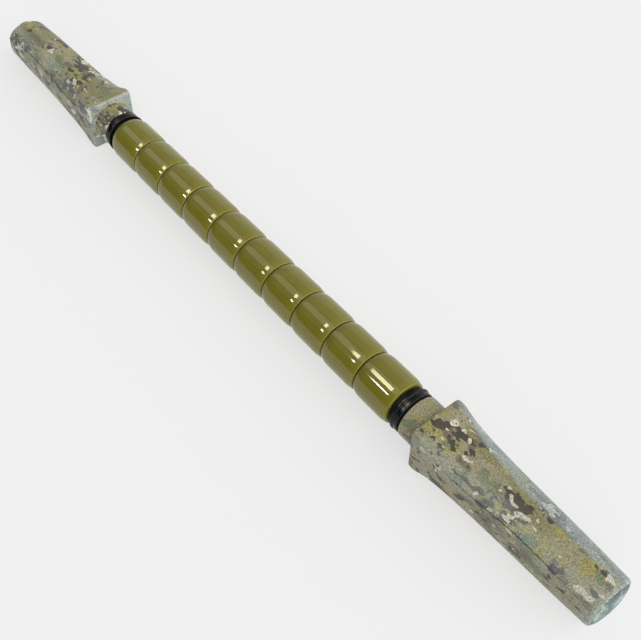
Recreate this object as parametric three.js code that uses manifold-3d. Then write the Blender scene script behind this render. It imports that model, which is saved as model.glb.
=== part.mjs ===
// Roller massage stick: ten free-turning rollers on one rod, with a moulded grip at each end.
// Millimetres. +X runs along the rod to the right-hand grip, +Z is up, and the square flares
// of the grips stand on z = 0. The origin is under the middle of the stick.

import * as THREE from 'three';
import { mergeVertices } from 'three/addons/utils/BufferGeometryUtils.js';
import Module from 'manifold-3d';

const wasm = await Module();
wasm.setup();

// Overall
const FLARE_HALF = 15.0; // half side of the square flare, which sets the height of the axis
const AXIS_Z = FLARE_HALF;

// Rollers
const ROLLER_COUNT = 10;
const ROLLER_PITCH = 25.0;
const ROLLER_GAP = 0.4;
const ROLLER_R = 13.2; // straight middle
const ROLLER_END_R = 12.55; // where the shoulder meets the edge round
const ROLLER_FLAT = 6.0; // half length of the straight middle
const ROLLER_EDGE = 0.8; // round on the outer end edge
const ROLLER_BORE_R = 6.35;
const BORE_CHAMFER = 0.7;
const SHOULDER_STEPS = 2;

// Rod
const ROD_R = 6.0;
const ROD_IN_GRIP = 112.0; // how far the rod reaches past the row of rollers
const ROD_CHAMFER = 0.8;

// End stack: each distance is measured outward from the end of the row of rollers
const PIECE_GAP = 0.3;
const FIXED_BORE_R = ROD_R + PIECE_GAP;
const THRUST_START = 0.3;
const THRUST_END = 2.3;
const THRUST_R = 11.3;
const COLLAR_START = THRUST_END + PIECE_GAP;
const COLLAR_END = 7.2;
const COLLAR_R = 12.0;
const RIDGE_R = 12.4;
const RIDGE_WIDTH = 0.9;
const RIDGE_GROOVE = 0.35; // depth and half width of the groove behind the ridge
const COLLAR_EDGE = 0.4;
const SPIGOT_R = 9.0;
const SPIGOT_END = 14.8;
const SEAL_START = COLLAR_END + PIECE_GAP;
const SEAL_END = 8.1;
const SEAL_R = 11.5;
const SEAL_EDGE = 0.2;

// Grip
const NECK_START = SEAL_END + PIECE_GAP;
const NECK_R = 12.1;
const NECK_EDGE = 0.4;
const FLARE_FACE = 19.6; // front face of the square flare
const FLARE_EDGE = 2.2; // round between the front face and the sides
const FLAT_START = FLARE_FACE + FLARE_EDGE;
const FLAT_END = FLAT_START + 2.5; // the level strip that the stick stands on
const TIP_START = 125.0;
const GRIP_END = 129.0;
const GRIP_BORE_R = SPIGOT_R + PIECE_GAP;
const GRIP_BORE_END = 114.0;
const BORE_CONE = 2.0; // drill-point depth of the blind bore

// Liner and cross pin
const LINER_START = SPIGOT_END + PIECE_GAP;
const LINER_END = GRIP_BORE_END - PIECE_GAP;
const LINER_R = SPIGOT_R;
const LINER_CHAMFER = 0.6;
const PIN_X = 60.0;
const PIN_R = 1.5;
const PIN_HALF = 8.2;
const PIN_CHAMFER = 0.4;

// Facets
const TURN_SEGMENTS = 32;
const PIN_SEGMENTS = 20;
const BODY_STEPS = 2; // rings between two sections of the grip

const STACK_END = (ROLLER_COUNT * ROLLER_PITCH) / 2;

// Sections of the grip behind the flare, from the end of the flat strip to the tip. In every
// quarter a facet runs from the crease at (y, z) up to the shoulder, which lies drop under the
// crown. Side is the half width across the sides, round is how much of the crease is rounded
// off, and bulge is how far the facet swells out.
const SECTIONS = [
  { at: FLAT_END, y: 15, z: 15, crown: 15, drop: 0, side: 15, round: 3, shoulder: 11, bulge: 0 },
  { at: 28.0, y: 15.0, z: 11.9, crown: 14.5, drop: 0.1, side: 15.2, round: 2.0, shoulder: 11.2, bulge: 0 },
  { at: 33.0, y: 15.0, z: 9.0, crown: 13.8, drop: 0.2, side: 15.4, round: 1.2, shoulder: 9.3, bulge: 0.1 },
  { at: 42.0, y: 14.7, z: 7.6, crown: 13.3, drop: 0.2, side: 15.2, round: 0.8, shoulder: 7.3, bulge: 0.2 },
  { at: 50.0, y: 14.3, z: 7.2, crown: 13.0, drop: 0.2, side: 14.9, round: 0.7, shoulder: 5.9, bulge: 0.3 },
  { at: 60.0, y: 13.7, z: 7.4, crown: 12.9, drop: 0.2, side: 14.4, round: 0.7, shoulder: 4.2, bulge: 0.5 },
  { at: 72.0, y: 12.8, z: 8.1, crown: 12.8, drop: 0.15, side: 13.8, round: 0.7, shoulder: 3.3, bulge: 0.6 },
  { at: 86.0, y: 12.1, z: 8.7, crown: 12.8, drop: 0.15, side: 13.3, round: 0.7, shoulder: 3.2, bulge: 0.7 },
  { at: 100.0, y: 11.9, z: 8.4, crown: 12.7, drop: 0.15, side: 13.1, round: 0.7, shoulder: 3.4, bulge: 0.7 },
  { at: 114.0, y: 12.0, z: 7.2, crown: 12.5, drop: 0.15, side: 13.1, round: 0.8, shoulder: 3.7, bulge: 0.7 },
  { at: TIP_START, y: 12.1, z: 6.1, crown: 12.3, drop: 0.15, side: 12.9, round: 1.2, shoulder: 4.0, bulge: 0.6 },
];

// Rounding of the tip: [share of its length, scale of the section]
const TIP_ROUND = [[0, 1], [0.5, 0.99], [0.85, 0.94], [1, 0.86]];

const MATERIALS = {
  roller: new THREE.MeshStandardMaterial({ color: 0x6f6a22, roughness: 0.22, metalness: 0 }),
  gloss_black: new THREE.MeshStandardMaterial({ color: 0x121213, roughness: 0.2, metalness: 0 }),
  matt_black: new THREE.MeshStandardMaterial({ color: 0x0b0b0c, roughness: 0.6, metalness: 0 }),
  seal: new THREE.MeshStandardMaterial({ color: 0x070707, roughness: 0.8, metalness: 0 }),
  grip: new THREE.MeshStandardMaterial({ color: 0x857f62, roughness: 0.85, metalness: 0 }),
  liner: new THREE.MeshStandardMaterial({ color: 0x2b2b2d, roughness: 0.6, metalness: 0 }),
  rod: new THREE.MeshStandardMaterial({ color: 0x1c1c1e, roughness: 0.42, metalness: 0 }),
  pin: new THREE.MeshStandardMaterial({ color: 0x9a9ca0, roughness: 0.35, metalness: 1 }),
};

const stick = new THREE.Group();
stick.name = 'roller_massage_stick';

// Joins doubled corners, so that the surface is one closed skin.
function sealed(geometry) {
  geometry.deleteAttribute('normal');
  geometry.deleteAttribute('uv');
  return mergeVertices(geometry, 1e-4);
}

// A turned solid about the stick's axis, from an outline of [x, radius] points.
function turned(outline, segments = TURN_SEGMENTS) {
  const points = outline.map(([x, radius]) => new THREE.Vector2(radius, x));
  const geometry = new THREE.LatheGeometry(points, segments);
  geometry.rotateZ(-Math.PI / 2);
  return sealed(geometry);
}

// A ring has a bore: its outline runs over the outside and comes back along the bore.
function turnedRing(outer, boreR) {
  const start = outer[0][0];
  const end = outer[outer.length - 1][0];
  return turned([[start, boreR], ...outer, [end, boreR], [start, boreR]]);
}

function toSolid(geometry) {
  const mesh = new wasm.Mesh({
    numProp: 3,
    vertProperties: new Float32Array(geometry.attributes.position.array),
    triVerts: new Uint32Array(geometry.index.array),
  });
  return new wasm.Manifold(mesh);
}

function fromSolid(solid) {
  const mesh = solid.getMesh();
  const geometry = new THREE.BufferGeometry();
  geometry.setAttribute('position', new THREE.BufferAttribute(mesh.vertProperties, 3));
  geometry.setIndex(new THREE.BufferAttribute(mesh.triVerts, 1));
  return geometry;
}

// A round pin or drill that crosses the stick upright at x.
function upright(x, radius, half, chamfer) {
  const outline = [
    [-half, 0],
    [-half, radius - chamfer],
    [chamfer - half, radius],
    [half - chamfer, radius],
    [half, radius - chamfer],
    [half, 0],
  ];
  const geometry = turned(outline, PIN_SEGMENTS);
  geometry.rotateY(-Math.PI / 2);
  geometry.translate(x, 0, 0);
  return geometry;
}

function drilled(geometry, places) {
  let solid = toSolid(geometry);
  for (const x of places) {
    const drill = upright(x, PIN_R + PIECE_GAP, 2 * PIN_HALF, PIN_CHAMFER);
    solid = solid.subtract(toSolid(drill));
  }
  return fromSolid(solid);
}

function addPiece(name, geometry, material) {
  const flat = geometry.clone().toNonIndexed();
  flat.translate(0, 0, AXIS_Z);
  flat.computeVertexNormals();
  const mesh = new THREE.Mesh(flat, MATERIALS[material]);
  mesh.name = name;
  stick.add(mesh);
}

// The two ends are alike: the left one is the right one turned half round about Z.
function addPair(name, geometry, material) {
  addPiece(`right_${name}`, geometry, material);
  addPiece(`left_${name}`, geometry.clone().rotateZ(Math.PI), material);
}

// Roller: straight middle, rounded shoulders down to slightly smaller ends.
function rollerHalfOutline() {
  const half = (ROLLER_PITCH - ROLLER_GAP) / 2;
  const edgeStart = half - ROLLER_EDGE;
  const points = [[ROLLER_FLAT, ROLLER_R]];
  for (let step = 1; step <= SHOULDER_STEPS; step += 1) {
    const share = step / SHOULDER_STEPS;
    const x = THREE.MathUtils.lerp(ROLLER_FLAT, edgeStart, share);
    points.push([x, THREE.MathUtils.lerp(ROLLER_R, ROLLER_END_R, share * share)]);
  }
  const sweep = Math.PI / 4;
  points.push([
    edgeStart + ROLLER_EDGE * Math.sin(sweep),
    ROLLER_END_R - ROLLER_EDGE * (1 - Math.cos(sweep)),
  ]);
  points.push([half, ROLLER_END_R - ROLLER_EDGE]);
  points.push([half, ROLLER_BORE_R + BORE_CHAMFER]);
  points.push([half - BORE_CHAMFER, ROLLER_BORE_R]);
  return points;
}

function rollerGeometry() {
  const right = rollerHalfOutline();
  const left = right.map(([x, radius]) => [-x, radius]).reverse();
  return turned([...left, ...right, left[0]]);
}

// One quarter of a grip section, from the middle of the top to the middle of the side.
function quarterSection(section) {
  const sideAt = (z) => section.side - (section.side - section.y) * (z / section.z) ** 2;
  const crease = new THREE.Vector2(section.y, section.z);
  const shoulder = new THREE.Vector2(section.shoulder, section.crown - section.drop);
  const along = crease.clone().sub(shoulder).normalize();
  const facetEnd = crease.clone().addScaledVector(along, -section.round);
  const facetMiddle = shoulder.clone().add(facetEnd).multiplyScalar(0.5);
  facetMiddle.addScaledVector(new THREE.Vector2(-along.y, along.x), section.bulge);
  const sideEnd = new THREE.Vector2(sideAt(section.z - section.round), section.z - section.round);
  const corner = new THREE.QuadraticBezierCurve(facetEnd, crease, sideEnd);
  const points = [new THREE.Vector2(0, section.crown), shoulder, facetMiddle];
  for (const share of [0, 0.5, 1]) {
    points.push(corner.getPoint(share));
  }
  for (const share of [0.5, 0]) {
    points.push(new THREE.Vector2(sideAt(sideEnd.y * share), sideEnd.y * share));
  }
  return points;
}

// The whole section, once round, from the four mirrored quarters.
function wholeSection(section) {
  const quarter = quarterSection(section);
  const last = quarter.length - 1;
  const mirrored = quarter.slice(0, last).reverse();
  return [
    ...quarter,
    ...mirrored.map((point) => new THREE.Vector2(point.x, -point.y)),
    ...quarter.slice(1).map((point) => new THREE.Vector2(-point.x, -point.y)),
    ...mirrored.slice(0, last - 1).map((point) => new THREE.Vector2(-point.x, point.y)),
  ];
}

// A smooth value between four neighbouring sections.
function smooth(before, from, to, after, share) {
  const fromSlope = (to - before) / 2;
  const toSlope = (after - from) / 2;
  const rise = to - from;
  const bend = 3 * rise - 2 * fromSlope - toSlope;
  const twist = fromSlope + toSlope - 2 * rise;
  return from + share * (fromSlope + share * (bend + share * twist));
}

function sectionBetween(index, share) {
  const pick = (offset) => SECTIONS[THREE.MathUtils.clamp(index + offset, 0, SECTIONS.length - 1)];
  const section = {};
  for (const key of Object.keys(SECTIONS[0])) {
    section[key] = smooth(pick(-1)[key], pick(0)[key], pick(1)[key], pick(2)[key], share);
  }
  return section;
}

function ringAt(x, points, scale = 1) {
  return { x, points: points.map((point) => point.clone().multiplyScalar(scale)) };
}

// The outside of the grip as rings along X: round neck, square flare, tapering body, round tip.
function gripRings() {
  const flare = wholeSection(SECTIONS[0]);
  const round = flare.map((point) => point.clone().normalize());
  const inset = (depth) => 1 - depth / FLARE_HALF;
  const rings = [
    ringAt(NECK_START, round, NECK_R - NECK_EDGE),
    ringAt(NECK_START + NECK_EDGE, round, NECK_R),
    ringAt(FLARE_FACE, round, NECK_R),
    ringAt(FLARE_FACE, flare, inset(FLARE_EDGE)),
    ringAt(FLARE_FACE + 0.3 * FLARE_EDGE, flare, inset(0.3 * FLARE_EDGE)),
    ringAt(FLAT_START, flare),
  ];
  for (let index = 0; index < SECTIONS.length - 1; index += 1) {
    for (let step = 0; step < BODY_STEPS; step += 1) {
      const section = sectionBetween(index, step / BODY_STEPS);
      rings.push(ringAt(section.at, wholeSection(section)));
    }
  }
  const tip = wholeSection(SECTIONS[SECTIONS.length - 1]);
  const tipLength = GRIP_END - TIP_START;
  for (const [reach, scale] of TIP_ROUND) {
    rings.push(ringAt(TIP_START + reach * tipLength, tip, scale));
  }
  return rings;
}

// Joins the rings into one closed skin with a flat fan at each end.
function lofted(rings) {
  const around = rings[0].points.length;
  const positions = [];
  const faces = [];
  for (const ring of rings) {
    for (const point of ring.points) {
      positions.push(ring.x, point.x, point.y);
    }
  }
  for (let row = 0; row < rings.length - 1; row += 1) {
    for (let column = 0; column < around; column += 1) {
      const here = row * around + column;
      const beside = row * around + ((column + 1) % around);
      faces.push(here, here + around, beside, beside, here + around, beside + around);
    }
  }
  const startCentre = positions.length / 3;
  positions.push(rings[0].x, 0, 0, rings[rings.length - 1].x, 0, 0);
  const lastRow = (rings.length - 1) * around;
  for (let column = 0; column < around; column += 1) {
    const next = (column + 1) % around;
    faces.push(startCentre, column, next);
    faces.push(startCentre + 1, lastRow + next, lastRow + column);
  }
  const geometry = new THREE.BufferGeometry();
  geometry.setAttribute('position', new THREE.Float32BufferAttribute(positions, 3));
  geometry.setIndex(faces);
  return geometry;
}

function gripShellGeometry() {
  const bore = turned([
    [NECK_START - 1, 0],
    [NECK_START - 1, GRIP_BORE_R],
    [GRIP_BORE_END, GRIP_BORE_R],
    [GRIP_BORE_END + BORE_CONE, 0],
  ]);
  return fromSolid(toSolid(lofted(gripRings())).subtract(toSolid(bore)));
}

// Rod
const rodEnd = STACK_END + ROD_IN_GRIP;
const rod = turned([
  [-rodEnd, 0],
  [-rodEnd, ROD_R - ROD_CHAMFER],
  [ROD_CHAMFER - rodEnd, ROD_R],
  [rodEnd - ROD_CHAMFER, ROD_R],
  [rodEnd, ROD_R - ROD_CHAMFER],
  [rodEnd, 0],
]);
addPiece('core_rod', drilled(rod, [-STACK_END - PIN_X, STACK_END + PIN_X]), 'rod');

// Rollers, numbered from the left-hand grip
for (let index = 0; index < ROLLER_COUNT; index += 1) {
  const roller = rollerGeometry();
  roller.translate((index + 0.5) * ROLLER_PITCH - STACK_END, 0, 0);
  addPiece(`roller_${String(index + 1).padStart(2, '0')}`, roller, 'roller');
}

// Pieces of one end, placed from the end of the row of rollers
const atEnd = (outline) => outline.map(([x, radius]) => [STACK_END + x, radius]);

const thrustOutline = [[THRUST_START, THRUST_R], [THRUST_END, THRUST_R]];
addPair('thrust_ring', turnedRing(atEnd(thrustOutline), FIXED_BORE_R), 'matt_black');

const ridgeEnd = COLLAR_START + COLLAR_EDGE + RIDGE_WIDTH;
const collarOutline = [
  [COLLAR_START, RIDGE_R - COLLAR_EDGE],
  [COLLAR_START + COLLAR_EDGE, RIDGE_R],
  [ridgeEnd, RIDGE_R],
  [ridgeEnd + RIDGE_GROOVE, COLLAR_R - RIDGE_GROOVE],
  [ridgeEnd + 2 * RIDGE_GROOVE, COLLAR_R],
  [COLLAR_END - COLLAR_EDGE, COLLAR_R],
  [COLLAR_END, COLLAR_R - COLLAR_EDGE],
  [COLLAR_END, SPIGOT_R],
  [SPIGOT_END, SPIGOT_R],
];
addPair('stop_collar', turnedRing(atEnd(collarOutline), FIXED_BORE_R), 'gloss_black');

const sealOutline = [
  [SEAL_START, SEAL_R - SEAL_EDGE],
  [SEAL_START + SEAL_EDGE, SEAL_R],
  [SEAL_END - SEAL_EDGE, SEAL_R],
  [SEAL_END, SEAL_R - SEAL_EDGE],
];
addPair('seal_ring', turnedRing(atEnd(sealOutline), GRIP_BORE_R), 'seal');

addPair('grip_shell', gripShellGeometry().translate(STACK_END, 0, 0), 'grip');

const linerOutline = [
  [LINER_START, LINER_R - LINER_CHAMFER],
  [LINER_START + LINER_CHAMFER, LINER_R],
  [LINER_END - LINER_CHAMFER, LINER_R],
  [LINER_END, LINER_R - LINER_CHAMFER],
];
const liner = drilled(turnedRing(atEnd(linerOutline), FIXED_BORE_R), [STACK_END + PIN_X]);
addPair('grip_liner', liner, 'liner');

addPair('cross_pin', upright(STACK_END + PIN_X, PIN_R, PIN_HALF, PIN_CHAMFER), 'pin');

export default stick;
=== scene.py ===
import math
from collections import namedtuple

import bmesh
import bpy
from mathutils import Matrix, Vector


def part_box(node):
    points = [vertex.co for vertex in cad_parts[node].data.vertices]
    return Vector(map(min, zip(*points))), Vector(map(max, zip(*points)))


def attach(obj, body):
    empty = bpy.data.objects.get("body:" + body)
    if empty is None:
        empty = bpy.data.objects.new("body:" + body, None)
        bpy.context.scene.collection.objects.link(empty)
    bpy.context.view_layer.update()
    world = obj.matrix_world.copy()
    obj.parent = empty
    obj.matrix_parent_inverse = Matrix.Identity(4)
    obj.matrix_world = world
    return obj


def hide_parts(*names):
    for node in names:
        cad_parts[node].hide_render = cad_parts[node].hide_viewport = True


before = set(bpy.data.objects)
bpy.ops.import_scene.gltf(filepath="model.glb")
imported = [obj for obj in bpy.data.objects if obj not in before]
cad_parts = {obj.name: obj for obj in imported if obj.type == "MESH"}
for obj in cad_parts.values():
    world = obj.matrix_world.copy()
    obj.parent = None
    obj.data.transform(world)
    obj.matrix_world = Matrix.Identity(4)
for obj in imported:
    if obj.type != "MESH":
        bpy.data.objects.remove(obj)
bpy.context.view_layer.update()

# Roller massage stick. Outlines are in millimetres: x along the stick, radius from its axis.
MM = 0.001
LATHE_STEPS = 96

rod_low, rod_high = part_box("core_rod")
AXIS_Z = (rod_low[2] + rod_high[2]) / 2
ROLLERS = [f"roller_{number:02d}" for number in range(1, 11)]
HALF_GAP = 0.2  # half the gap between two rollers
STACK_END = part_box(ROLLERS[-1])[1][0] / MM + HALF_GAP


# ---------------------------------------------------------------- shaping


def start_editing(name):
    """Makes the new primitive the piece called name, placed in its mesh, open for editing."""
    piece = bpy.context.object
    piece.name = name
    piece.data.name = name
    bpy.ops.object.transform_apply(location=True, rotation=True, scale=True)
    bpy.ops.object.mode_set(mode="EDIT")
    bpy.ops.mesh.select_mode(type="VERT")
    return piece


def close_skin():
    """Merges doubled corners, turns every face outwards and ends editing."""
    bpy.ops.mesh.select_all(action="SELECT")
    bpy.ops.mesh.remove_doubles(threshold=1e-6)
    bpy.ops.mesh.normals_make_consistent(inside=False)
    bpy.ops.object.mode_set(mode="OBJECT")


def round_edges(piece, width):
    """Takes the sharp edges off, as moulding does, and keeps the faces smooth between them."""
    bevel = piece.modifiers.new("edge_round", "BEVEL")
    bevel.width = width * MM
    bevel.segments = 3
    bevel.limit_method = "ANGLE"
    bevel.angle_limit = math.radians(28)
    bpy.ops.object.modifier_apply(modifier=bevel.name)
    bpy.ops.object.shade_smooth_by_angle(angle=math.radians(40))


def turned(name, outline, edge):
    """A piece turned about the stick's axis from a closed outline of (x, radius)."""
    points = [Vector((x * MM, 0, AXIS_Z + radius * MM)) for x, radius in outline]
    bpy.ops.object.select_all(action="DESELECT")
    bpy.ops.mesh.primitive_plane_add(size=MM, location=points[0])
    piece = start_editing(name)
    bpy.ops.mesh.select_all(action="SELECT")
    bpy.ops.mesh.merge(type="CENTER")
    for before, point in zip(points, points[1:]):
        bpy.ops.mesh.extrude_region_move(TRANSFORM_OT_translate={"value": point - before})
    bpy.ops.mesh.select_all(action="DESELECT")
    mesh = bmesh.from_edit_mesh(piece.data)
    for corner in mesh.verts:
        ends = ((corner.co - points[0]).length, (corner.co - points[-1]).length)
        corner.select_set(min(ends) < 1e-7)
    mesh.select_flush(True)
    bmesh.update_edit_mesh(piece.data)
    bpy.ops.mesh.edge_face_add()
    bpy.ops.mesh.select_all(action="SELECT")
    bpy.ops.mesh.spin(steps=LATHE_STEPS, angle=math.tau, center=(0, 0, AXIS_Z), axis=(1, 0, 0))
    close_skin()
    round_edges(piece, edge)
    return piece


def mirrored_outline(outline):
    return [(-x, radius) for x, radius in reversed(outline)]


# ---------------------------------------------------------------- materials


def linear(hex_colour):
    """An sRGB hex colour as the linear colour that Blender's sockets take."""
    channels = [int(hex_colour[place:place + 2], 16) / 255 for place in (1, 3, 5)]
    return [c / 12.92 if c <= 0.04045 else ((c + 0.055) / 1.055) ** 2.4 for c in channels] + [1.0]


def add_node(tree, kind, inputs=None, **settings):
    """Adds one node: settings are its own, and an input is a value or the socket it is fed from."""
    node = tree.nodes.new(kind)
    for key, value in settings.items():
        setattr(node, key, value)
    for key, value in (inputs or {}).items():
        if isinstance(value, bpy.types.NodeSocket):
            tree.links.new(value, node.inputs[key])
        else:
            node.inputs[key].default_value = value
    return node


def new_material(name):
    material = bpy.data.materials.new(name)
    material.use_nodes = True
    material.node_tree.nodes.clear()
    return material, material.node_tree


def roller_material():
    # Polished-mould ABS: an even, saturated olive under a clear wet-looking gloss.
    material, tree = new_material("moulded_abs_olive_polished")
    place = add_node(tree, "ShaderNodeTexCoord").outputs["Object"]
    flow = add_node(tree, "ShaderNodeTexNoise", {
        "Vector": place, "Scale": 1 / (9 * MM), "Detail": 2.0, "Roughness": 0.5})
    colour = add_node(tree, "ShaderNodeMix", {
        0: flow.outputs["Fac"], 6: linear("#6B6516"), 7: linear("#736D20")}, data_type="RGBA")
    # Handling marks: the gloss is a little duller in patches of about 5 mm.
    marks = add_node(tree, "ShaderNodeTexNoise", {
        "Vector": place, "Scale": 1 / (5 * MM), "Detail": 4.0, "Roughness": 0.6})
    dull = add_node(tree, "ShaderNodeMapRange", {
        "Value": marks.outputs["Fac"], "From Min": 0.3, "From Max": 0.75,
        "To Min": 0.045, "To Max": 0.09})
    # Orange peel of the mould, waves of about 2 mm and a few microns high.
    peel = add_node(tree, "ShaderNodeTexNoise", {
        "Vector": place, "Scale": 1 / (2 * MM), "Detail": 1.0})
    bump = add_node(tree, "ShaderNodeBump", {
        "Height": peel.outputs["Fac"], "Strength": 0.06, "Distance": 0.02 * MM})
    shader = add_node(tree, "ShaderNodeBsdfPrincipled", {
        "Base Color": colour.outputs[2], "Roughness": dull.outputs["Result"],
        "IOR": 1.54, "Normal": bump.outputs["Normal"]})
    add_node(tree, "ShaderNodeOutputMaterial", {"Surface": shader.outputs["BSDF"]})
    return material


def collar_material():
    # Moulded glass-filled nylon, black and glossy, with a faint cloudiness in the shine.
    material, tree = new_material("moulded_nylon_black_gloss")
    place = add_node(tree, "ShaderNodeTexCoord").outputs["Object"]
    cloud = add_node(tree, "ShaderNodeTexNoise", {
        "Vector": place, "Scale": 1 / (3 * MM), "Detail": 5.0, "Roughness": 0.65})
    colour = add_node(tree, "ShaderNodeMix", {
        0: cloud.outputs["Fac"], 6: linear("#010101"), 7: linear("#08080A")}, data_type="RGBA")
    gloss = add_node(tree, "ShaderNodeMapRange", {
        "Value": cloud.outputs["Fac"], "From Min": 0.35, "From Max": 0.7,
        "To Min": 0.2, "To Max": 0.32})
    bump = add_node(tree, "ShaderNodeBump", {
        "Height": cloud.outputs["Fac"], "Strength": 0.12, "Distance": 0.03 * MM})
    shader = add_node(tree, "ShaderNodeBsdfPrincipled", {
        "Base Color": colour.outputs[2], "Roughness": gloss.outputs["Result"],
        "IOR": 1.53, "Specular IOR Level": 0.22, "Normal": bump.outputs["Normal"]})
    add_node(tree, "ShaderNodeOutputMaterial", {"Surface": shader.outputs["BSDF"]})
    return material


def grained_material(name, dark, light, grain, roughness, height, ior=1.5, metallic=0.0,
                     stretch=1.0, shine=0.5):
    """A plain piece: two close shades and a fine grain, long along the stick by stretch."""
    material, tree = new_material(name)
    place = add_node(tree, "ShaderNodeTexCoord").outputs["Object"]
    drawn = add_node(tree, "ShaderNodeMapping", {"Vector": place, "Scale": (1 / stretch, 1, 1)})
    grains = add_node(tree, "ShaderNodeTexNoise", {
        "Vector": drawn.outputs["Vector"], "Scale": 1 / (grain * MM), "Detail": 4.0})
    colour = add_node(tree, "ShaderNodeMix", {
        0: grains.outputs["Fac"], 6: linear(dark), 7: linear(light)}, data_type="RGBA")
    rough = add_node(tree, "ShaderNodeMapRange", {
        "Value": grains.outputs["Fac"], "From Min": 0.3, "From Max": 0.7,
        "To Min": roughness - 0.08, "To Max": roughness + 0.08})
    bump = add_node(tree, "ShaderNodeBump", {
        "Height": grains.outputs["Fac"], "Strength": 0.3, "Distance": height * MM})
    shader = add_node(tree, "ShaderNodeBsdfPrincipled", {
        "Base Color": colour.outputs[2], "Roughness": rough.outputs["Result"], "IOR": ior,
        "Specular IOR Level": shine, "Metallic": metallic, "Normal": bump.outputs["Normal"]})
    add_node(tree, "ShaderNodeOutputMaterial", {"Surface": shader.outputs["BSDF"]})
    return material


# Printed camouflage over a tan-grey ground, in the order it is laid down: colour, blotch length
# along the grip and across it in mm, where the noise starts and ends the edge, how strongly the
# blotches gather in the same places, and an offset that keeps the layers apart.
GROUND = "#918A6C"
CAMOUFLAGE = [
    ("#817C54", 26, 16, 0.49, 0.56, 0.0, 3.1),
    ("#938C52", 19, 10, 0.575, 0.61, 0.0, 11.7),
    ("#717A5C", 13, 9, 0.62, 0.65, 0.0, 23.9),
    ("#6F6650", 12, 8, 0.59, 0.615, 0.2, 31.3),
    ("#423B31", 7, 4.6, 0.62, 0.635, 0.5, 47.5),
    ("#C6C1AC", 6.5, 4.8, 0.655, 0.67, 0.45, 59.2),
    ("#3F382F", 3.6, 2.9, 0.675, 0.695, 0.4, 71.4),
]
# Where the painted cool sheen (a blue-grey reflection painted into the grips' colour) lies, by
# distance along the stick.
FRONT_MIDDLE = STACK_END + 20.2  # the flare's front face and its rounded edge
FRONT_HALF = 0.8
FOLD_START = STACK_END + 24  # the fold beside the top face starts in the flare's corner
FOLD_START_ACROSS = 11.0
FOLD_SETTLED = STACK_END + 72
FOLD_SETTLED_ACROSS = 3.6
TIP_SHEEN_START = STACK_END + 121
TIP_SHEEN_END = STACK_END + 128
END_EDGE = STACK_END + 128.9  # where the end face starts
END_BLEND = 0.3
# How the painted sheen fades in: across each fold, by height above the floor, and how strong it
# gets.
PLUS_FADE_START = -0.6
PLUS_FADE_END = 1.8
MINUS_FADE_START = 0.4
MINUS_FADE_END = -1.8
UPPER_START = 18
UPPER_END = 22
RIGHT_HAND_FULL = 150
PLUS_SHEEN_STRENGTH = 1.15
MINUS_SHEEN_STRENGTH = 0.45
TIP_SHEEN_STRENGTH = 0.9


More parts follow.
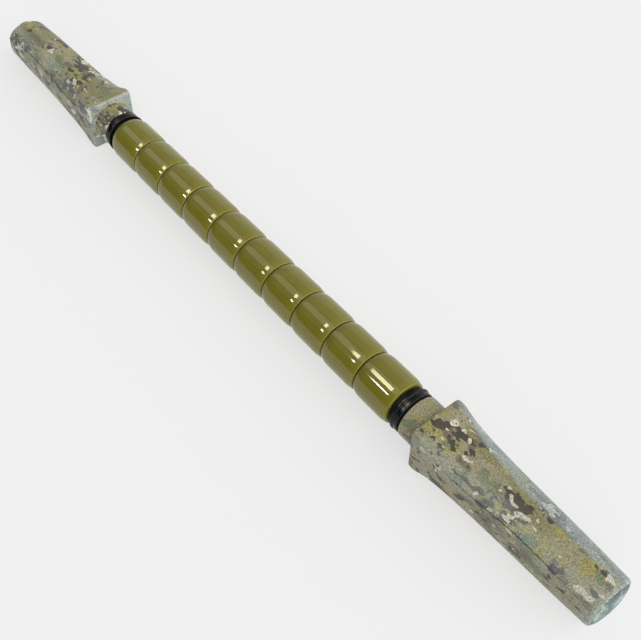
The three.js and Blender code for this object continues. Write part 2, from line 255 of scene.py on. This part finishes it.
def grip_material():
    # Soft moulded rubber with a spark-eroded grain under a printed film of camouflage: matt and
    # pebbled, with a faint cool sheen, and a blue-grey sheen painted into the colour in fixed
    # places.
    material, tree = new_material("moulded_rubber_grained_printed_camouflage_painted_sheen")
    place = add_node(tree, "ShaderNodeTexCoord").outputs["Object"]
    gathering = add_node(tree, "ShaderNodeTexNoise", {
        "Vector": place, "Scale": 1 / (24 * MM), "Detail": 1.0})
    print_so_far = linear(GROUND)
    for colour, long, across, low, high, gathered, offset in CAMOUFLAGE:
        drawn = add_node(tree, "ShaderNodeMapping", {
            "Vector": place, "Location": (offset, offset / 2, offset / 3),
            "Scale": (1 / (long * MM), 1 / (across * MM), 1 / (across * MM))})
        blotch = add_node(tree, "ShaderNodeTexNoise", {
            "Vector": drawn.outputs["Vector"], "Scale": 1.0, "Detail": 1.2, "Roughness": 0.5,
            "Distortion": 0.25})
        level = add_node(tree, "ShaderNodeMath", {
            0: gathering.outputs["Fac"], 1: gathered, 2: blotch.outputs["Fac"]},
            operation="MULTIPLY_ADD")
        share = add_node(tree, "ShaderNodeMapRange", {
            "Value": level.outputs["Value"], "From Min": low + gathered / 2,
            "From Max": high + gathered / 2},
            interpolation_type="SMOOTHSTEP")
        layer = add_node(tree, "ShaderNodeMix", {
            0: share.outputs["Result"], 6: print_so_far, 7: linear(colour)}, data_type="RGBA")
        print_so_far = layer.outputs[2]
    # Painted sheen: a cloudy blue-grey reflection painted into the colour over the upper +Y slope
    # of the right-hand grip, thinly over both upper -Y slopes, round the right-hand tip, and on the
    # front face of the left-hand flare. Its edge follows the fold beside the top face, from the
    # flare's corner in towards the middle.
    parts = add_node(tree, "ShaderNodeSeparateXYZ", {"Vector": place})
    out = add_node(tree, "ShaderNodeMath", {0: parts.outputs["X"]}, operation="ABSOLUTE")
    fold = add_node(tree, "ShaderNodeMapRange", {
        "Value": out.outputs["Value"], "From Min": FOLD_START * MM, "From Max": FOLD_SETTLED * MM,
        "To Min": FOLD_START_ACROSS * MM, "To Max": FOLD_SETTLED_ACROSS * MM})
    past_fold = add_node(tree, "ShaderNodeMath", {
        0: parts.outputs["Y"], 1: fold.outputs["Result"]}, operation="SUBTRACT")
    flank = add_node(tree, "ShaderNodeMapRange", {
        "Value": past_fold.outputs["Value"], "From Min": PLUS_FADE_START * MM,
        "From Max": PLUS_FADE_END * MM})
    right_hand = add_node(tree, "ShaderNodeMapRange", {
        "Value": parts.outputs["X"], "From Min": 0.0, "From Max": RIGHT_HAND_FULL * MM,
        "To Max": PLUS_SHEEN_STRENGTH})
    over_fold = add_node(tree, "ShaderNodeMath", {
        0: parts.outputs["Y"], 1: fold.outputs["Result"]}, operation="ADD")
    slope = add_node(tree, "ShaderNodeMapRange", {
        "Value": over_fold.outputs["Value"], "From Min": MINUS_FADE_START * MM,
        "From Max": MINUS_FADE_END * MM, "To Max": MINUS_SHEEN_STRENGTH})
    upper = add_node(tree, "ShaderNodeMapRange", {
        "Value": parts.outputs["Z"], "From Min": UPPER_START * MM,
        "From Max": UPPER_END * MM})
    front = add_node(tree, "ShaderNodeMath", {
        0: parts.outputs["X"], 1: -FRONT_MIDDLE * MM, 2: FRONT_HALF * MM},
        operation="COMPARE")
    cloud = add_node(tree, "ShaderNodeTexNoise", {
        "Vector": place, "Scale": 1 / (16 * MM), "Detail": 6.0, "Roughness": 0.7})
    plus_side = add_node(tree, "ShaderNodeMath", {
        0: flank.outputs["Result"], 1: right_hand.outputs["Result"]}, operation="MULTIPLY")
    sides = add_node(tree, "ShaderNodeMath", {
        0: plus_side.outputs["Value"], 1: slope.outputs["Result"]}, operation="MAXIMUM")
    slopes = add_node(tree, "ShaderNodeMath", {
        0: sides.outputs["Value"], 1: upper.outputs["Result"]}, operation="MULTIPLY")
    tip = add_node(tree, "ShaderNodeMapRange", {
        "Value": parts.outputs["X"], "From Min": TIP_SHEEN_START * MM,
        "From Max": TIP_SHEEN_END * MM, "To Max": TIP_SHEEN_STRENGTH})
    ends = add_node(tree, "ShaderNodeMath", {
        0: tip.outputs["Result"], 1: front.outputs["Value"]}, operation="MAXIMUM")
    edges = add_node(tree, "ShaderNodeMath", {
        0: slopes.outputs["Value"], 1: ends.outputs["Value"]}, operation="MAXIMUM")
    # How strongly the painted sheen is laid on, clouded by noise.
    painted_sheen = add_node(tree, "ShaderNodeMath", {
        0: edges.outputs["Value"], 1: cloud.outputs["Fac"]}, operation="MULTIPLY", use_clamp=True)
    # The print with the painted sheen's blue-grey colour laid over it.
    with_painted_sheen = add_node(tree, "ShaderNodeMix", {
        0: painted_sheen.outputs["Value"], 6: print_so_far, 7: linear("#97A5A8")}, data_type="RGBA")
    # The end face is plain: mottled slate and pale grey-green.
    end_face = add_node(tree, "ShaderNodeMapRange", {
        "Value": out.outputs["Value"], "From Min": END_EDGE * MM,
        "From Max": (END_EDGE + END_BLEND) * MM})
    slate = add_node(tree, "ShaderNodeMapRange", {
        "Value": cloud.outputs["Fac"], "From Min": 0.44, "From Max": 0.56})
    mottled = add_node(tree, "ShaderNodeMix", {
        0: slate.outputs["Result"], 6: linear("#4A565C"), 7: linear("#8CA192")}, data_type="RGBA")
    faced = add_node(tree, "ShaderNodeMix", {
        0: end_face.outputs["Result"], 6: with_painted_sheen.outputs[2], 7: mottled.outputs[2]},
        data_type="RGBA")
    print_so_far = faced.outputs[2]
    # The grain's pebbles are about 0.3 mm; they are drawn at 0.75 mm so that they show.
    pebbles = add_node(tree, "ShaderNodeTexNoise", {
        "Vector": place, "Scale": 1 / (0.75 * MM), "Detail": 2.0, "Roughness": 0.65})
    speckle = add_node(tree, "ShaderNodeMapRange", {
        "Value": pebbles.outputs["Fac"], "From Min": 0.32, "From Max": 0.68,
        "To Min": 0.45, "To Max": 1.35})
    colour = add_node(tree, "ShaderNodeMix", {
        0: 1.0, 6: print_so_far, 7: speckle.outputs["Result"]},
        data_type="RGBA", blend_type="MULTIPLY")
    # Handling has polished the film a little in patches of about 14 mm.
    wear = add_node(tree, "ShaderNodeTexNoise", {
        "Vector": place, "Scale": 1 / (14 * MM), "Detail": 3.0, "Roughness": 0.6})
    rough = add_node(tree, "ShaderNodeMapRange", {
        "Value": wear.outputs["Fac"], "From Min": 0.35, "From Max": 0.65,
        "To Min": 0.42, "To Max": 0.6})
    bump = add_node(tree, "ShaderNodeBump", {
        "Height": pebbles.outputs["Fac"], "Strength": 0.6, "Distance": 0.18 * MM})
    shader = add_node(tree, "ShaderNodeBsdfPrincipled", {
        "Base Color": colour.outputs[2], "Roughness": rough.outputs["Result"], "IOR": 1.5,
        "Sheen Weight": 0.22, "Sheen Roughness": 0.4, "Sheen Tint": linear("#A8C2D6"),
        "Normal": bump.outputs["Normal"]})
    add_node(tree, "ShaderNodeOutputMaterial", {"Surface": shader.outputs["BSDF"]})
    return material


def floor_material():
    # Lit studio table of pale opal acrylic: the light under it keeps shadows on it pale.
    material, tree = new_material("opal_acrylic_light_table")
    place = add_node(tree, "ShaderNodeTexCoord").outputs["Object"]
    cloud = add_node(tree, "ShaderNodeTexNoise", {"Vector": place, "Scale": 2.0, "Detail": 2.0})
    colour = add_node(tree, "ShaderNodeMix", {
        0: cloud.outputs["Fac"], 6: linear("#858585"), 7: linear("#878787")}, data_type="RGBA")
    shader = add_node(tree, "ShaderNodeBsdfPrincipled", {
        "Base Color": colour.outputs[2], "Roughness": 0.9, "Specular IOR Level": 0.0,
        "Emission Color": linear("#FFFFFF"), "Emission Strength": 0.63})
    add_node(tree, "ShaderNodeOutputMaterial", {"Surface": shader.outputs["BSDF"]})
    return material


# ---------------------------------------------------------------- rollers


def roller_outline(length, radius):
    """Straight middle, shoulders that fall away to the ends, small round edge, chamfered bore."""
    half = length / 2
    flat = 7.0
    drop = 0.7
    edge = 0.65
    bore = 6.35
    chamfer = 0.7
    steps = 8
    shoulder = half - edge - flat
    right = []
    for step in range(steps + 1):
        share = step / steps
        right.append((flat + share * shoulder, radius - drop * share ** 2))
    for degrees in (22.5, 45, 67.5, 90):
        turn = math.radians(degrees)
        right.append((half - edge + edge * math.sin(turn),
                      radius - drop - edge * (1 - math.cos(turn))))
    right += [(half, bore + chamfer), (half - chamfer, bore)]
    return mirrored_outline(right) + right


low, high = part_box(ROLLERS[0])
roller_length = (high[0] - low[0]) / MM
roller_radius = (high[2] - low[2]) / 2 / MM
EASED = 0.45  # the mould rounds the two ends off a little short of the full length
first_roller = turned("olive_roller", roller_outline(roller_length - EASED, roller_radius), 0.1)
olive = roller_material()
first_roller.data.materials.append(olive)

for node in ROLLERS:
    low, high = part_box(node)
    roller = first_roller.copy()
    roller.data = first_roller.data.copy()
    roller.name = node.replace("roller", "olive_roller_made")
    roller.data.name = roller.name
    bpy.context.collection.objects.link(roller)
    bpy.ops.object.select_all(action="DESELECT")
    roller.select_set(True)
    bpy.context.view_layer.objects.active = roller
    bpy.ops.transform.translate(value=((low[0] + high[0]) / 2, 0, 0))
    bpy.ops.object.transform_apply(location=True, rotation=True, scale=True)
    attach(roller, node + "_body")
    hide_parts(node)
bpy.data.objects.remove(first_roller)


# ---------------------------------------------------------------- rings and collars

# Radii: the collars on the rod, the collar's hidden spigot, and the grip's bore.
BORE = 6.3
SPIGOT = 9.0
GRIP_BORE = 9.3

# For each kind its slot, how far its edges are rounded, and its outline beyond the rollers.
END_PIECES = {
    "thrust_ring": ("ring_matt_black", 0.15, [
        (0.3, BORE), (0.3, 11.3), (2.3, 11.3), (2.3, BORE)]),
    "stop_collar": ("collar_gloss_black", 0.12, [
        (2.6, BORE), (2.6, 12.1), (2.9, 12.4), (3.7, 12.4), (4.1, 11.75), (4.6, 11.75),
        (5.0, 12.0), (6.8, 12.0), (7.2, 11.7), (7.2, SPIGOT), (14.8, SPIGOT), (14.8, BORE)]),
    "seal_ring": ("seal_black", 0.1, [
        (7.5, GRIP_BORE), (7.5, 11.5), (8.1, 11.5), (8.1, GRIP_BORE)]),
}

black_gloss = collar_material()
# Moulded acetal: flat black, because its face is finely textured to run dry.
black_matt = grained_material("moulded_acetal_black_textured", "#020202", "#060606",
                              grain=0.4, roughness=0.55, height=0.03, shine=0.12)
# Extruded rubber: deep black with hardly any shine.
black_rubber = grained_material("extruded_rubber_black", "#020202", "#080808",
                                grain=0.3, roughness=0.78, height=0.02, shine=0.15)
END_FINISH = {"thrust_ring": black_matt, "stop_collar": black_gloss, "seal_ring": black_rubber}

for side, sign in (("right", 1), ("left", -1)):
    for kind, (slot, edge, outline) in END_PIECES.items():
        placed = [(STACK_END + x, radius) for x, radius in outline]
        if sign < 0:
            placed = mirrored_outline(placed)
        piece = turned(f"{side}_{kind}_made", placed, edge)
        piece.data.materials.append(END_FINISH[kind])
        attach(piece, "core")
        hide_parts(f"{side}_{kind}")


# ---------------------------------------------------------------- grips

# Sections of the grip from the end of its flat strip to its tip, by distance from the end of the
# rollers. In every quarter a facet runs from the crease (across, up) to the shoulder, which lies
# drop under the crown. Side is the half width across the sides; rounding and groove are the
# crease's, bend is how wide the shoulder turns, and bulge is how far the facet swells out.
Section = namedtuple("Section", "at across up crown drop side rounding groove shoulder bend bulge")
SECTIONS = [
    Section(24.3, 15.0, 15.0, 15.0, 0.0, 15.0, 2.2, 0.0, 11.4, 0.8, 0.0),
    Section(28.0, 15.1, 12.0, 14.5, 0.1, 15.3, 1.4, 0.2, 11.2, 0.9, 0.0),
    Section(33.0, 15.1, 9.2, 13.8, 0.2, 15.5, 0.9, 0.6, 9.3, 1.0, 0.1),
    Section(42.0, 14.9, 7.7, 13.3, 0.2, 15.3, 0.8, 0.8, 7.3, 1.2, 0.2),
    Section(50.0, 14.5, 7.3, 13.0, 0.2, 15.0, 0.8, 1.0, 5.9, 1.6, 0.3),
    Section(60.0, 13.9, 7.5, 12.9, 0.2, 14.5, 0.8, 1.2, 4.4, 2.2, 0.5),
    Section(72.0, 13.0, 8.2, 12.8, 0.15, 13.9, 0.8, 1.35, 3.6, 2.6, 0.6),
    Section(86.0, 12.3, 8.8, 12.8, 0.15, 13.4, 0.8, 1.4, 3.5, 2.8, 0.7),
    Section(100.0, 12.1, 8.5, 12.7, 0.15, 13.2, 0.8, 1.4, 3.6, 2.8, 0.7),
    Section(114.0, 12.2, 7.3, 12.5, 0.15, 13.2, 0.9, 1.1, 3.8, 2.8, 0.7),
    Section(125.0, 12.3, 6.2, 12.3, 0.15, 13.0, 1.2, 0.6, 4.0, 2.8, 0.6),
]
QUARTER = 10  # corners in a quarter of the ring
RING = 4 * QUARTER

# The tip from the middle of its end face outwards: distance, and scale of the last section. The
# fine line moulded round the end face is the dip in the middle.
TIP = [
    (130.8, 0.3), (130.5, 0.52), (130.0, 0.72), (129.5, 0.84), (129.2, 0.87), (128.5, 0.88),
    (128.5, 0.9), (128.9, 0.915), (128.8, 0.945), (128.4, 0.97), (127.7, 0.99), (126.6, 1.0),
]
FLARE_FACE = 19.6
FLARE_EDGE = 1.4
NECK = 12.1  # radius
NECK_START = 8.4
BORE_BOTTOM = 114.0
FIRST_RING = 4  # radius of the disc that the grip is drawn out of


def quarter_points(section):
    """One quarter's points, from the middle of the side up to the middle of the top."""
    crease = Vector((section.across, section.up))
    shoulder = Vector((section.shoulder, section.crown - section.drop))
    facet = (shoulder - crease).normalized()

    def flank(z):
        return section.side - (section.side - section.across) * (z / section.up) ** 2

    side_end = Vector((flank(section.up - section.rounding), section.up - section.rounding))
    facet_end = crease + facet * section.rounding

    def rounded(share):
        rest = 1 - share
        return rest ** 2 * side_end + 2 * rest * share * crease + share ** 2 * facet_end

    shoulder_start = shoulder - facet * min(section.bend, (shoulder - facet_end).length * 0.4)
    shoulder_end = Vector((shoulder.x - section.bend, section.crown - section.drop * 0.3))
    facet_middle = (facet_end + shoulder_start) / 2 + Vector((facet.y, -facet.x)) * section.bulge
    half_side = side_end.y * 0.5
    return [
        Vector((section.side + (section.side - flank(half_side)) / 2, 0)),
        Vector((flank(half_side), half_side)),
        side_end,
        rounded(0.28),
        rounded(0.5) - crease.normalized() * section.groove,
        rounded(0.72),
        facet_end,
        facet_middle,
        shoulder_start,
        shoulder_end,
        Vector((0, section.crown)),
    ]


def round_points(radius):
    """As many points of a quarter circle, let out so that smoothing brings it to its radius."""
    step = math.tau / RING
    out = radius * 6 / (4 + 2 * math.cos(step))
    return [Vector((out * math.cos(step * k), out * math.sin(step * k)))
            for k in range(QUARTER + 1)]


def grip_rings():
    """All rings from the middle of the tip to the bottom of the bore: (distance, quarter)."""
    tip = quarter_points(SECTIONS[-1])
    flare = quarter_points(SECTIONS[0])

    def shrunk(points, scale):
        return [point * scale for point in points]

    rings = [(distance, shrunk(tip, scale)) for distance, scale in TIP]
    rings += [(section.at, quarter_points(section)) for section in reversed(SECTIONS)]
    for degrees in (0, 30, 60, 90):
        turn = math.radians(degrees)
        inset = FLARE_EDGE * (1 - math.cos(turn))
        rings.append((FLARE_FACE + FLARE_EDGE * (1 - math.sin(turn)),
                      shrunk(flare, 1 - inset / SECTIONS[0].side)))
    # Front face, root of the neck, neck, its rounded end, and the bore back to its bottom.
    for distance, radius in (
            (FLARE_FACE, 12.5), (19.4, 12.2), (18.8, NECK), (14.0, NECK), (9.4, NECK), (8.65, NECK),
            (NECK_START, 11.85), (NECK_START, 11.2), (NECK_START, 9.6), (8.5, 9.35),
            (9.2, GRIP_BORE), (113.0, GRIP_BORE), (113.9, GRIP_BORE), (BORE_BOTTOM, 9.0),
            (BORE_BOTTOM, 4.0)):
        rings.append((distance, round_points(radius)))
    return rings


def ring_order(piece):
    """Numbers of the selected corners in order round the axis, from the side that faces +Y."""
    mesh = bmesh.from_edit_mesh(piece.data)
    mesh.verts.index_update()

    def turn(corner):
        return (math.atan2(corner.co.z - AXIS_Z, corner.co.y) + math.pi / RING) % math.tau

    return [corner.index for corner in sorted((c for c in mesh.verts if c.select), key=turn)]


def select_corners(piece, numbers):
    """Selects the corners with these numbers and returns the first one's place."""
    bpy.ops.mesh.select_all(action="DESELECT")
    mesh = bmesh.from_edit_mesh(piece.data)
    mesh.verts.ensure_lookup_table()
    for number in numbers:
        mesh.verts[number].select_set(True)
    mesh.select_flush(True)
    place = mesh.verts[numbers[0]].co.copy()
    bmesh.update_edit_mesh(piece.data)
    return place


def shape_ring(piece, order, quarter, x):
    """Scales each set of four or two mirrored corners of the ring out to its place. The order is
    found once, before any corner moves, because moved corners may pass one another's angle."""
    for step, want in enumerate(quarter):
        matching = [order[step], order[(2 * QUARTER - step) % RING],
                    order[(2 * QUARTER + step) % RING], order[(RING - step) % RING]]
        place = select_corners(piece, matching)
        scale_y = want.x * MM / place.y if abs(want.x) > 1e-9 else 1.0
        scale_z = want.y * MM / (place.z - AXIS_Z) if abs(want.y) > 1e-9 else 1.0
        bpy.ops.transform.resize(value=(1, scale_y, scale_z), center_override=(x, 0, AXIS_Z))


def moulded_grip(name):
    """The right-hand grip: a disc drawn out ring by ring along the stick, back in as its bore."""
    rings = grip_rings()
    at = (STACK_END + rings[0][0]) * MM
    bpy.ops.object.select_all(action="DESELECT")
    bpy.ops.mesh.primitive_circle_add(vertices=RING, radius=FIRST_RING * MM, fill_type="NGON",
                                      location=(at, 0, AXIS_Z), rotation=(0, math.pi / 2, 0))
    piece = start_editing(name)
    bpy.ops.mesh.select_all(action="SELECT")
    order = ring_order(piece)
    shape_ring(piece, order, rings[0][1], at)
    for distance, quarter in rings[1:]:
        x = (STACK_END + distance) * MM
        select_corners(piece, order)
        bpy.ops.mesh.select_mode(type="EDGE")
        bpy.ops.mesh.extrude_edges_move(TRANSFORM_OT_translate={"value": (x - at, 0, 0)})
        bpy.ops.mesh.select_mode(type="VERT")
        order = ring_order(piece)
        shape_ring(piece, order, quarter, x)
        at = x
    select_corners(piece, order)
    bpy.ops.mesh.edge_face_add()
    close_skin()
    smooth = piece.modifiers.new("smooth", "SUBSURF")
    smooth.levels = 2
    smooth.render_levels = 2
    bpy.ops.object.modifier_apply(modifier=smooth.name)
    bpy.ops.object.shade_smooth_by_angle(angle=math.radians(50))
    return piece


camouflage = grip_material()
right_grip = moulded_grip("right_grip_made")
right_grip.data.materials.append(camouflage)

left_grip = right_grip.copy()
left_grip.data = right_grip.data.copy()
left_grip.name = "left_grip_made"
left_grip.data.name = left_grip.name
bpy.context.collection.objects.link(left_grip)
bpy.ops.object.select_all(action="DESELECT")
left_grip.select_set(True)
bpy.context.view_layer.objects.active = left_grip
left_grip.rotation_euler = (0, 0, math.pi)
bpy.ops.object.transform_apply(location=True, rotation=True, scale=True)

for side, grip in (("right", right_grip), ("left", left_grip)):
    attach(grip, "core")
    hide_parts(f"{side}_grip_shell")


# ---------------------------------------------------------------- hidden pieces

# These keep their CAD shape and are only given a finish.

# Extruded nylon rod: near black, with faint draw lines along it.
rod_finish = grained_material("extruded_nylon_black_drawn", "#121213", "#1F2022",
                              grain=0.8, roughness=0.42, height=0.02, ior=1.53, stretch=20)
# Moulded glass-filled nylon: charcoal, slightly mottled by the fibres.
liner_finish = grained_material("moulded_nylon_charcoal", "#26262A", "#343438",
                                grain=0.7, roughness=0.58, height=0.03, ior=1.53)
# Drawn steel wire: bright grey with a fine even grain.
pin_finish = grained_material("drawn_steel", "#8E9094", "#B0B2B5",
                              grain=0.3, roughness=0.34, height=0.01, metallic=1.0)
HIDDEN = {
    "core_rod": rod_finish,
    "left_grip_liner": liner_finish, "right_grip_liner": liner_finish,
    "left_cross_pin": pin_finish, "right_cross_pin": pin_finish,
}
for node, material in HIDDEN.items():
    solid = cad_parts[node]
    solid.data.materials.clear()
    solid.data.materials.append(material)


# ---------------------------------------------------------------- floor, light and camera

FLOOR_SIZE = 60  # in metres, so that its edge lies far off

bpy.ops.object.select_all(action="DESELECT")
bpy.ops.mesh.primitive_plane_add(size=FLOOR_SIZE, location=(0, 0, 0))
floor = bpy.context.object
floor.name = "floor"
floor.data.materials.append(floor_material())

# Soft studio light: panels as bands of the sky that run along the stick, by lean from overhead
# towards +Y, and a wide panel beyond the right-hand end.
BANDS = [
    (-84, 0.1), (-55, 0.12), (-45, 0.32), (8, 0.32), (15, 0.5), (45, 0.5), (55, 0.85), (90, 0.85),
]
END_PANEL = 2.1
END_PANEL_EDGE = 0.25
END_PANEL_FULL = 0.4
world = bpy.data.worlds.new("studio")
bpy.context.scene.world = world
world.use_nodes = True
sky = world.node_tree
sky.nodes.clear()
towards = add_node(sky, "ShaderNodeTexCoord").outputs["Generated"]
parts = add_node(sky, "ShaderNodeSeparateXYZ", {"Vector": towards})
lean = add_node(sky, "ShaderNodeMath", {0: parts.outputs["Y"], 1: parts.outputs["Z"]},
                operation="ARCTAN2")
share = add_node(sky, "ShaderNodeMapRange", {
    "Value": lean.outputs["Value"], "From Min": -math.pi / 2, "From Max": math.pi / 2})
panels = add_node(sky, "ShaderNodeValToRGB", {"Fac": share.outputs["Result"]})
stops = panels.color_ramp.elements
while len(stops) < len(BANDS):
    stops.new(1.0)
for stop, (degrees, brightness) in zip(stops, BANDS):
    stop.position = (degrees + 90) / 180
    stop.color = (brightness, brightness, brightness, 1.0)
end_panel = add_node(sky, "ShaderNodeMapRange", {
    "Value": parts.outputs["X"], "From Min": END_PANEL_EDGE, "From Max": END_PANEL_FULL,
    "To Max": END_PANEL})
both = add_node(sky, "ShaderNodeMath", {
    0: panels.outputs["Color"], 1: end_panel.outputs["Result"]}, operation="ADD")
glow = add_node(sky, "ShaderNodeBackground", {
    "Color": (1.0, 1.0, 1.0, 1.0), "Strength": both.outputs["Value"]})
add_node(sky, "ShaderNodeOutputWorld", {"Surface": glow.outputs["Background"]})

middle = Vector((0, 0, AXIS_Z))
# Lamps seen only in the gloss, two tubes as streaks and a long softbox as a paler band: lean
# from overhead towards -Y in degrees, place along X, length and width, energy and colour.
LAMP_REACH = 1.6
LAMPS = {
    "white_tube": (46, -0.44, 0.42, 0.13, 7.0, (1, 1, 1)),
    "warm_tube": (19, -0.46, 0.46, 0.46, 10.0, (1.0, 0.93, 0.55)),
    "softbox": (12, -1.2, 3.0, 0.8, 8.0, (1.0, 0.99, 0.95)),
}
for name, (lean_degrees, place_x, length, width, energy, colour) in LAMPS.items():
    turn = math.radians(lean_degrees)
    light = bpy.data.lights.new(name, "AREA")
    light.shape = "RECTANGLE"
    light.size = length
    light.size_y = width
    light.energy = energy
    light.color = colour
    lamp = bpy.data.objects.new(name, light)
    across = Vector((0, -math.sin(turn), math.cos(turn)))
    lamp.location = middle + across * LAMP_REACH + Vector((place_x, 0, 0))
    lamp.rotation_euler = (turn, 0, 0)
    lamp.visible_diffuse = False
    bpy.context.collection.objects.link(lamp)

# Where the camera stands from the middle of the stick, the way it looks, and its lens in mm.
CAMERA_PLACE = Vector((0.3121, -0.2015, 0.3998))
CAMERA_VIEW = Vector((-0.492, 0.393, -0.776))
CAMERA_LENS = 56.16
camera_data = bpy.data.cameras.new("studio_camera")
camera_data.lens = CAMERA_LENS
camera_data.sensor_width = 36
camera = bpy.data.objects.new("studio_camera", camera_data)
camera.location = middle + CAMERA_PLACE
camera.rotation_euler = CAMERA_VIEW.to_track_quat("-Z", "Y").to_euler()
bpy.context.collection.objects.link(camera)
bpy.context.scene.camera = camera
bpy.context.scene.view_settings.view_transform = "Standard"
